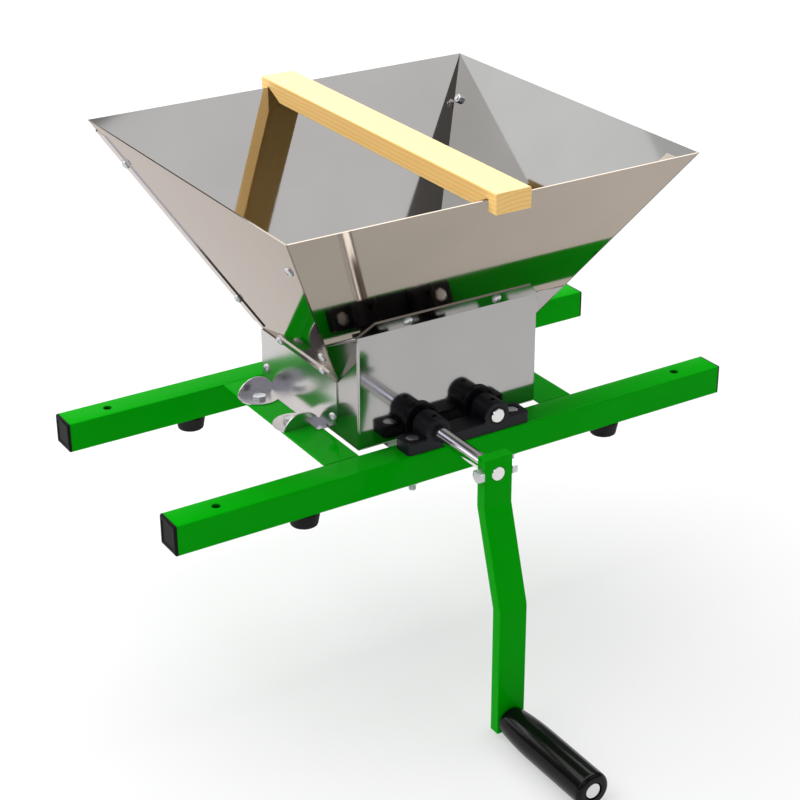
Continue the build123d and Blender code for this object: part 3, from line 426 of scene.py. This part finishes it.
class Recipe(Sketch):
    """A Geometry Nodes tree that sets one shape at many places, with named inputs for its sizes."""

    def __init__(self, name, sizes):
        super().__init__(bpy.data.node_groups.new(name, "GeometryNodeTree"))
        self.sizes = sizes
        self.interface = {}
        self.open_socket("Places", "INPUT", "NodeSocketGeometry")
        for size in sizes:
            self.open_socket(size, "INPUT", "NodeSocketFloat")
        self.open_socket("Finish", "INPUT", "NodeSocketMaterial")
        self.open_socket("Pieces", "OUTPUT", "NodeSocketGeometry")
        self.entry = self.tree.nodes.new("NodeGroupInput")

    def open_socket(self, name, way, kind):
        self.interface[name] = self.tree.interface.new_socket(name, in_out=way, socket_type=kind)

    def given(self, name):
        """One of the tree's inputs."""
        return Signal(self, self.pick(self.entry.outputs, name))

    def vector(self, x=0.0, y=0.0, z=0.0):
        return self.add("ShaderNodeCombineXYZ", None, {"X": x, "Y": y, "Z": z})

    def lifted(self, shape, height):
        values = {"Geometry": shape, "Translation": self.vector(z=height)}
        return self.add("GeometryNodeTransform", None, values)

    def cuboid(self, length, width, depth):
        return self.add("GeometryNodeMeshCube", None, {"Size": self.vector(length, width, depth)})

    def ball(self, segments, rings, radius):
        values = {"Segments": segments, "Rings": rings, "Radius": radius}
        return self.add("GeometryNodeMeshUVSphere", None, values, "Mesh")

    def cylinder(self, sides, radius, bottom, height):
        values = {"Vertices": sides, "Radius": radius, "Depth": height}
        shape = self.add("GeometryNodeMeshCylinder", {"fill_type": "NGON"}, values, "Mesh")
        return self.lifted(shape, bottom + 0.5 * height)

    def cone(self, sides, low_radius, high_radius, bottom, height):
        values = {"Vertices": sides, "Radius Bottom": low_radius, "Radius Top": high_radius, "Depth": height}
        shape = self.add("GeometryNodeMeshCone", {"fill_type": "NGON"}, values, "Mesh")
        return self.lifted(shape, bottom)

    def thread(self, radius, bottom, height, pitch):
        """A ridge of triangular section that winds up a shank."""
        ridge_share = 0.45
        turns = {"Resolution": 14, "Rotations": height / pitch, "Height": height}
        turns.update({"Start Radius": radius, "End Radius": radius})
        helix = self.add("GeometryNodeCurveSpiral", None, turns)
        ridge = {"Resolution": 3, "Radius": ridge_share * pitch}
        outline = self.add("GeometryNodeCurvePrimitiveCircle", {"mode": "RADIUS"}, ridge, "Curve")
        values = {"Curve": helix, "Profile Curve": outline, "Fill Caps": True}
        return self.lifted(self.add("GeometryNodeCurveToMesh", None, values), bottom)

    def cut(self, operation, whole, tools):
        names = {"DIFFERENCE": {"Mesh 1": whole, "Mesh 2": tools}, "INTERSECT": {"Mesh 2": [whole] + tools}}
        settings = {"operation": operation, "solver": "EXACT"}
        return self.add("GeometryNodeMeshBoolean", settings, names[operation])

    def attribute(self, name):
        settings = {"data_type": "FLOAT_VECTOR"}
        return self.add("GeometryNodeInputNamedAttribute", settings, {"Name": name}, "Attribute")

    def close(self, shapes):
        """Sets the joined shapes at every place, turned to its axis and corner, as one mesh of the finish."""
        whole = self.add("GeometryNodeJoinGeometry", None, {"Geometry": shapes})
        axes = {"Primary Axis": self.attribute("axis"), "Secondary Axis": self.attribute("corner")}
        turn = self.add("FunctionNodeAxesToRotation", {"primary_axis": "Z", "secondary_axis": "X"}, axes)
        spots = {"Points": self.given("Places"), "Instance": whole, "Rotation": turn}
        spread = self.add("GeometryNodeInstanceOnPoints", None, spots)
        solid = self.add("GeometryNodeRealizeInstances", None, {"Geometry": spread})
        coating = {"Geometry": solid, "Material": self.given("Finish")}
        coated = self.add("GeometryNodeSetMaterial", None, coating)
        exit_node = self.tree.nodes.new("NodeGroupOutput")
        self.feed(exit_node.inputs[0], coated)

    def make(self, name, places, sizes, finish):
        """One plain mesh with the shape at every place."""
        sharp_from = math.radians(32)
        points = bpy.data.meshes.new(name + "_places")
        points.from_pydata([place["seat"] for place in places], [], [])
        for way in ("axis", "corner"):
            layer = points.attributes.new(way, "FLOAT_VECTOR", "POINT")
            layer.data.foreach_set("vector", np.concatenate([place[way] for place in places]))
        source = bpy.data.objects.new(name + "_places", points)
        bpy.context.scene.collection.objects.link(source)
        modifier = source.modifiers.new(name, "NODES")
        modifier.node_group = self.tree
        for label in self.sizes:
            modifier[self.interface[label].identifier] = sizes[label]
        modifier[self.interface["Finish"].identifier] = finish.material
        piece = plain_piece(name, source)
        piece.data.shade_smooth()
        piece.data.set_sharp_from_angle(angle=sharp_from)
        return piece


def solids_of(node):
    """The separate solids of a CAD piece, each as an array of its corner points."""
    shape = merged(node)
    solids = []
    for start in shape.verts:
        if start.tag:
            continue
        start.tag = True
        reached = [start]
        for vert in reached:
            for edge in vert.link_edges:
                other = edge.other_vert(vert)
                if not other.tag:
                    other.tag = True
                    reached.append(other)
        solids.append(np.array([vert.co for vert in reached]))
    shape.free()
    return solids


def measured(points):
    """Seat, axis, corner and sizes of a fastener, from the corner points of its solid.
    The head is its widest stretch. Where there is no shank, the shank's radius is that of the bore."""
    widest_share = 0.98
    clear = 0.1 * mm
    centre = points.mean(0)
    spread, ways = np.linalg.eigh(np.cov((points - centre).T))
    axis = ways[:, 0] if spread[1] - spread[0] > spread[2] - spread[1] else ways[:, 2]
    along = (points - centre) @ axis
    across = points - centre - np.outer(along, axis)
    reach = np.linalg.norm(across, axis=1)
    wide = reach > widest_share * reach.max()
    if along[wide].mean() < 0:
        axis, along = -axis, -along
    foot = along[wide].min()
    below = along < foot - clear
    return {
        "seat": centre + foot * axis,
        "axis": axis,
        "corner": across[wide][0] / reach[wide][0],
        "sizes": {
            "Head radius": reach.max(),
            "Head height": along.max() - foot,
            "Shank radius": reach[below].max() if below.any() else reach.min(),
            "Shank length": foot - along.min(),
        },
    }


crown_share = 0.65
slot_depth_share = 1.3
slot_length_share = 1.15
screw_core_share = 0.86
screw_thread_share = 0.9
pan_sizes = ("Head radius", "Head height", "Shank radius", "Shank length", "Pitch", "Slot width")
pan_screw = Recipe("pan_head_screw", pan_sizes)
head_radius = pan_screw.given("Head radius")
head_height = pan_screw.given("Head height")
crown = crown_share * head_height
dome_radius = (crown * crown + head_radius * head_radius) / (2 * crown)
dome = pan_screw.ball(segments=32, rings=40, radius=dome_radius)
blank = pan_screw.cylinder(sides=32, radius=head_radius, bottom=0.0, height=head_height)
head = pan_screw.cut("INTERSECT", blank, [pan_screw.lifted(dome, head_height - dome_radius)])
slot_width = pan_screw.given("Slot width")
slot_depth = slot_depth_share * head_height
slot_length = slot_length_share * head_radius
lengthwise = pan_screw.cuboid(slot_length, slot_width, slot_depth)
crosswise = pan_screw.cuboid(slot_width, slot_length, slot_depth)
slots = [pan_screw.lifted(slot, head_height) for slot in (lengthwise, crosswise)]
slotted_head = pan_screw.cut("DIFFERENCE", head, slots)
shank_length = pan_screw.given("Shank length")
core_radius = screw_core_share * pan_screw.given("Shank radius")
core = pan_screw.cylinder(sides=16, radius=core_radius, bottom=-1 * shank_length, height=shank_length)
thread_length = screw_thread_share * shank_length
ridge = pan_screw.thread(core_radius, -1 * shank_length, thread_length, pan_screw.given("Pitch"))
pan_screw.close([slotted_head, core, ridge])

plating_depth = 0.004 * mm
zinc_grey = linear(184, 186, 189)
zinc_bright = linear(216, 217, 219)
zinc = Finish("zinc_plate", {"Metallic": 0.92})
zinc_cloud = zinc.noise(scale=240, detail=3.0)
zinc.set({
    "Base Color": zinc.blend(zinc_cloud, zinc_grey, zinc_bright),
    "Roughness": 0.26 + 0.16 * zinc_cloud,
    "Normal": zinc.bumped(zinc.noise(scale=1600), plating_depth),
})


def fasteners_for(node, recipe, more_sizes):
    """Detailed fasteners in place of a CAD piece's plain ones, in the sizes of the first of them."""
    places = [measured(points) for points in solids_of(node)]
    sizes = {**places[0]["sizes"], **more_sizes}
    piece = recipe.make(node + "_finished", places, sizes, zinc)
    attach(piece, frame["nodes"][node]["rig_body"])
    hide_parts(node)


fasteners_for("sheet_screws", pan_screw, {"Pitch": 0.7 * mm, "Slot width": 1.3 * mm})
fasteners_for("foot_screws", pan_screw, {"Pitch": 0.8 * mm, "Slot width": 1.2 * mm})

# Hexagon bolts and nuts
# Zinc-plated steel bolts and nuts, in the ears, the bearing blocks and the crank, and on the sheet screws.
# Their corners are turned off to a cone, as cold-headed hexagons are.
flat_share = 0.87
cone_slope = 1.9
bolt_core_share = 0.88
bolt_thread_share = 0.8
bolt_pitch = 1.0 * mm


def hexagon_blank(recipe, both_ends):
    """A hexagon whose corners, at the head's radius, are turned off at the top, or at both ends."""
    corner = recipe.given("Head radius")
    height = recipe.given("Head height")
    flat = flat_share * corner
    skirt = flat + cone_slope * height
    tools = [recipe.cone(sides=48, low_radius=skirt, high_radius=flat, bottom=0.0, height=height)]
    if both_ends:
        tools.append(recipe.cone(sides=48, low_radius=flat, high_radius=skirt, bottom=0.0, height=height))
    hexagon = recipe.cylinder(sides=6, radius=corner, bottom=0.0, height=height)
    return recipe.cut("INTERSECT", hexagon, tools)


hex_bolt = Recipe("hexagon_bolt", ("Head radius", "Head height", "Shank radius", "Shank length", "Pitch"))
bolt_length = hex_bolt.given("Shank length")
bolt_core = bolt_core_share * hex_bolt.given("Shank radius")
bolt_shank = hex_bolt.cylinder(sides=20, radius=bolt_core, bottom=-1 * bolt_length, height=bolt_length)
bolt_thread = bolt_thread_share * bolt_length
bolt_ridge = hex_bolt.thread(bolt_core, -1 * bolt_length, bolt_thread, hex_bolt.given("Pitch"))
hex_bolt.close([hexagon_blank(hex_bolt, both_ends=False), bolt_shank, bolt_ridge])

hex_nut = Recipe("hexagon_nut", ("Head radius", "Head height", "Shank radius"))
nut_height = hex_nut.given("Head height")
bore_radius = hex_nut.given("Shank radius")
bore = hex_nut.cylinder(sides=24, radius=bore_radius, bottom=-1 * nut_height, height=3 * nut_height)
hex_nut.close([hex_nut.cut("DIFFERENCE", hexagon_blank(hex_nut, both_ends=True), [bore])])

for node in ("ear_bolts", "block_bolts", "crank_cross_bolt"):
    fasteners_for(node, hex_bolt, {"Pitch": bolt_pitch})
for node in ("sheet_nuts", "ear_nuts", "block_nuts", "crank_cross_nut", "grip_nut"):
    fasteners_for(node, hex_nut, {})

# Bearing blocks
# Two black moulded nylon blocks, one bolted down through each tube, with two bosses each for the bushes.
# Satin, with soft edges and the faint flow marks of the mould.
block_edge = 0.5 * mm
block_texture = 0.008 * mm
nylon_dark = linear(17, 17, 22)
nylon_light = linear(26, 26, 33)
block_black = Finish("block_plastic", {"Specular IOR Level": 0.2})
flow = block_black.streaks(stretch=(30, 90, 60), detail=3.0)
block_grain = block_black.noise(scale=1500)
block_black.set({
    "Base Color": block_black.blend(flow, nylon_dark, nylon_light),
    "Roughness": 0.36 + 0.12 * block_grain + 0.1 * flow,
    "Normal": block_black.bumped(block_grain, block_texture),
})
for node in ("front_bearing_block", "rear_bearing_block"):
    dress(node, block_black, block_edge, segments=3)

# Bearing bushes
# Four turned sleeves of dark acetal, pressed into the blocks, that the shafts run in. Each ends in a
# cup-shaped seal that lies against the throat. The lathe leaves fine rings round each shaft's axis.
ring_depth = 0.006 * mm
acetal_dark = linear(12, 12, 15)
acetal_light = linear(22, 22, 26)
bush = Finish("bush_plastic", {"Specular IOR Level": 0.15})
bush_rings = bush.streaks(stretch=(60, 2500, 60), detail=2.0)
bush.set({
    "Base Color": bush.blend(bush_rings, acetal_dark, acetal_light),
    "Roughness": 0.28 + 0.2 * bush_rings,
    "Normal": bush.bumped(bush_rings, ring_depth),
})
dress("bearing_bushes", bush)

# Shafts
# Two bright drawn steel bars, 12 mm thick. The drive shaft runs out to the front for the crank.
# Drawing leaves fine lines along the bar.
line_depth = 0.0015 * mm
steel_grey = linear(204, 203, 202)
steel_bright = linear(236, 235, 234)
bright_steel = Finish("bright_drawn_steel", {"Metallic": 1.0})
draw_lines = bright_steel.streaks(stretch=(1800, 8, 1800), detail=3.0)
oil_film = bright_steel.noise(scale=40, detail=3.0)
bright_steel.set({
    "Base Color": bright_steel.blend(draw_lines, steel_grey, steel_bright),
    "Roughness": 0.04 + 0.06 * draw_lines + 0.04 * oil_film,
    "Normal": bright_steel.bumped(draw_lines, line_depth),
})
for node in ("drive_shaft", "driven_shaft"):
    dress(node, bright_steel)

# Crushing rollers
# Toothed discs of cast aluminium with butting hubs, pinned to the shafts between two end sleeves.
# The castings are grainy and dull, and not quite even in tone.
sand_depth = 0.06 * mm
cast_dark = linear(150, 152, 154)
cast_light = linear(190, 191, 192)
cast = Finish("cast_aluminium", {"Metallic": 1.0})
cast_tone = cast.noise(scale=30)
sand = cast.noise(scale=420, detail=5.0)
cast.set({
    "Base Color": cast.blend(cast_tone, cast_dark, cast_light),
    "Roughness": 0.34 + 0.24 * sand,
    "Normal": cast.bumped(sand, sand_depth),
})
for node in ("drive_toothed_discs", "driven_toothed_discs", "drive_spacers", "driven_spacers"):
    dress(node, cast)
for node in ("drive_roller_pins", "driven_roller_pins"):
    dress(node, zinc)

# Gears
# A pair of equal cut steel gears behind the rear block, each fixed to its shaft by a screw in its hub.
# Hobbed from bar, so the faces show turning rings about each shaft's axis, under a film of oil.
gear_edge = 0.3 * mm
turning_depth = 0.01 * mm
oiled_steel = linear(134, 132, 130)
cut_steel = linear(176, 174, 171)


def cut_gear(name, node):
    """Cut steel with turning rings about the axis of one gear."""
    low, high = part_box(node)
    middle = (low + high) / 2
    gear = Finish(name, {"Metallic": 1.0})
    centred = gear.mapped(location=(-middle.x, 0, -middle.z), scale=(1, 0, 1))
    radius = gear.add("ShaderNodeVectorMath", {"operation": "LENGTH"}, {0: centred}, "Value")
    turning = {"W": radius, "Scale": 2400.0, "Detail": 3.0}
    rings = gear.add("ShaderNodeTexNoise", {"noise_dimensions": "1D"}, turning, "Fac")
    stain = gear.noise(scale=70, detail=4.0)
    gear.set({
        "Base Color": gear.blend(stain, oiled_steel, cut_steel),
        "Roughness": 0.22 + 0.18 * rings + 0.08 * stain,
        "Normal": gear.bumped(rings, turning_depth),
    })
    return gear


for gear_node in ("drive_gear", "driven_gear"):
    dress(gear_node, cut_gear(gear_node + "_steel", gear_node), gear_edge)
    dress(gear_node + "_screw", zinc)

# Crank
# A flat steel bar with two bends, drilled for the shaft end and painted green like the frame.
# A bolt through bar and shaft holds it.
crank_edge = 0.5 * mm
dress("crank_arm", green_coat, crank_edge, segments=3)

# Grip
# A handle of glossy black plastic that turns on a steel spindle, against a washer.
# The spindle's flat head shows as a bright disc in its end.
spindle_edge = 0.3 * mm
grip_wave = 0.05 * mm
grip_black = linear(6, 6, 6)
handled_black = linear(13, 13, 13)
gloss = Finish("grip_plastic", {"Specular IOR Level": 0.12, "Coat Weight": 0.08, "Coat Roughness": 0.06})
handling = gloss.noise(scale=35, detail=4.0)
moulded_wave = gloss.noise(scale=22, detail=1.0)
gloss.set({
    "Base Color": gloss.blend(handling, grip_black, handled_black),
    "Roughness": 0.14 + 0.1 * handling,
    "Normal": gloss.bumped(moulded_wave, grip_wave),
})
dress("handle_grip", gloss)
dress("grip_spindle", bright_steel, spindle_edge)
dress("grip_washer", zinc)

# Wooden bar
# A loose bar of planed pine laid across the rim, with a lug and a notch at each end to hook over the sheet.
# The growth rings lie almost flat: long grain on top, fine lines on the sides, layers on the ends. Faces that
# look up are painted paler, a painted highlight of the light from above.
bar_edge = 0.5 * mm
grain_depth = 0.03 * mm
heart_drop = 95 * mm
heart_side = 22 * mm
ring_pitch = 3.4 * mm
ring_sway = 1.6
early_wood = linear(255, 214, 134)
late_wood = linear(250, 192, 108)
fibre_brown = linear(240, 190, 118)
painted_top_highlight = linear(220, 208, 156)
season_stops = [(0.0, early_wood), (0.45, early_wood), (0.88, late_wood), (1.0, early_wood)]
pine = Finish("planed_pine", {"Specular IOR Level": 0.25})
bar_low, bar_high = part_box("wooden_bar")
heart = (-(bar_low.x + heart_side), 0, heart_drop - bar_high.z)
from_heart = pine.mapped(location=heart, scale=(1, 0, 1))
heart_distance = pine.add("ShaderNodeVectorMath", {"operation": "LENGTH"}, {0: from_heart}, "Value")
sway = pine.streaks(stretch=(18, 3.5, 18), detail=2.0)
years = heart_distance / ring_pitch + ring_sway * sway
season = pine.add("ShaderNodeMath", {"operation": "FRACT"}, {0: years})
grain = pine.add("ShaderNodeValToRGB", {"stops": season_stops}, {"Fac": season}, "Color")
fibre = pine.streaks(stretch=(800, 12, 800), detail=3.0)
fibre_share = pine.spread(fibre, low=0.35, high=0.8, end=0.35)
# painted highlight: faces that look up are blended towards a paler colour, for the light that falls on the
# top
top_light_share = pine.spread(pine.facing("Z"), low=0.5, high=0.95, end=0.85)
fibred = pine.blend(fibre_share, grain, fibre_brown)
pine.set({
    "Base Color": pine.blend(top_light_share, fibred, painted_top_highlight),
    "Roughness": 0.45 + 0.2 * fibre,
    "Normal": pine.bumped(fibre + 0.4 * season, grain_depth),
})
dress("wooden_bar", pine, bar_edge, segments=3)

# Floor
# A plain white studio floor, level with the lowest point of the hanging grip.
# It is evenly matt, and it glows a little of itself, so that shadows stay pale.
floor_gap = 0.5 * mm
floor_reach = 12.0
floor_glow = 0.45
floor_dark = (0.39, 0.39, 0.39, 1)
floor_light = (0.41, 0.41, 0.41, 1)
floor_level = cad_box[0].z - floor_gap
floor_signs = [(-1, -1), (1, -1), (1, 1), (-1, 1)]
floor_corners = [(floor_reach * x, floor_reach * y, floor_level) for x, y in floor_signs]
floor_mesh = bpy.data.meshes.new("floor")
floor_mesh.from_pydata(floor_corners, [], [range(4)])
floor = bpy.data.objects.new("floor", floor_mesh)
bpy.context.scene.collection.objects.link(floor)
glowing = {"Specular IOR Level": 0.0, "Emission Color": (1, 1, 1, 1), "Emission Strength": floor_glow}
white = Finish("white_floor", glowing)
white.set({
    "Base Color": white.blend(white.noise(scale=1.5), floor_dark, floor_light),
    "Roughness": 0.8 + 0.1 * white.noise(scale=3),
})
floor_mesh.materials.append(white.material)

# Studio light
# Six soft panels: a wide one overhead, a low wall of light at the back, one at the back left, one at the
# left, a dim one to the front right and a small bluish one to the front left. The room is dark, with a
# pale band at the horizon.
horizon_glow = (0.75, 0.75, 0.75, 1)
room_dark = (0.1, 0.1, 0.1, 1)
ceiling_grey = (0.25, 0.25, 0.25, 1)
room_stops = [(0.05, horizon_glow), (0.1, room_dark), (0.7, ceiling_grey)]
world = bpy.data.worlds.new("dark_room")
world.use_nodes = True
room = Sketch(world.node_tree)
sky = world.node_tree.nodes["Background"]
outlook = room.add("ShaderNodeTexCoord", take="Generated")
above = room.add("ShaderNodeSeparateXYZ", None, {0: outlook}, "Z")
room_tone = room.add("ShaderNodeValToRGB", {"stops": room_stops}, {"Fac": above})
room.feed(sky.inputs["Color"], room_tone)
sky.inputs["Strength"].default_value = 1.0
bpy.context.scene.world = world
bpy.context.scene.view_settings.view_transform = "Standard"


def light_panel(name, place, aim, width, height, brightness, tint=(1, 1, 1)):
    """A soft panel that faces a point. Its power follows from its area and its brightness."""
    lamp = bpy.data.lights.new(name, "AREA")
    lamp.shape = "RECTANGLE"
    lamp.size = width
    lamp.size_y = height
    lamp.energy = math.pi * width * height * brightness
    lamp.color = tint
    panel = bpy.data.objects.new(name, lamp)
    panel.location = place
    panel.rotation_euler = (Vector(aim) - Vector(place)).to_track_quat("-Z", "Y").to_euler()
    bpy.context.scene.collection.objects.link(panel)


bluish = (0.77, 0.8, 1.0)
middle = (0.0, 0.0, 0.0)
light_panel("overhead_panel", (-0.3, 1.3, 2.5), (-0.3, 1.3, 0.0), width=5.4, height=4.2, brightness=2.95)
light_panel("back_wall", (0.5, 4.4, 1.25), (0.5, 0.0, 1.25), width=8.0, height=2.5, brightness=0.8)
light_panel("back_left_panel", (-1.62, 2.47, 1.4), (-0.1, 0.03, 0.0), width=1.6, height=1.6, brightness=1.4)
light_panel("front_right_panel", (1.5, -2.2, 1.7), middle, width=2.2, height=1.6, brightness=0.7)
light_panel("left_panel", (-2.7, -0.3, 1.4), (0.0, 0.0, 0.1), width=1.6, height=1.6, brightness=1.0)
light_panel("front_panel", (-1.4, -2.55, 1.5), middle, width=1.1, height=1.0, brightness=2.2, tint=bluish)

# Camera
# Set where the photograph was taken from: to the front left and above, with a long lens.
# It aims just below the tops of the tubes and leans by a quarter of a degree.
camera_azimuth = math.radians(31.923)
camera_elevation = math.radians(26.011)
camera_roll = math.radians(-0.257)
camera_distance = 1.57324
camera_aim = Vector((0.84 * mm, -5.11 * mm, -7.99 * mm))
focal_length = 85.29
sensor_width = 36.0
lens = bpy.data.cameras.new("camera")
lens.sensor_width = sensor_width
lens.lens = focal_length
camera = bpy.data.objects.new("camera", lens)
ground_share = math.cos(camera_elevation)
back_x = -math.sin(camera_azimuth) * ground_share
back_y = -math.cos(camera_azimuth) * ground_share
back = Vector((back_x, back_y, math.sin(camera_elevation)))
turned = (-back).to_track_quat("-Z", "Y").to_matrix() @ Matrix.Rotation(camera_roll, 3, "Z")
camera.location = camera_aim + camera_distance * back
camera.rotation_euler = turned.to_euler()
bpy.context.scene.collection.objects.link(camera)
bpy.context.scene.camera = camera
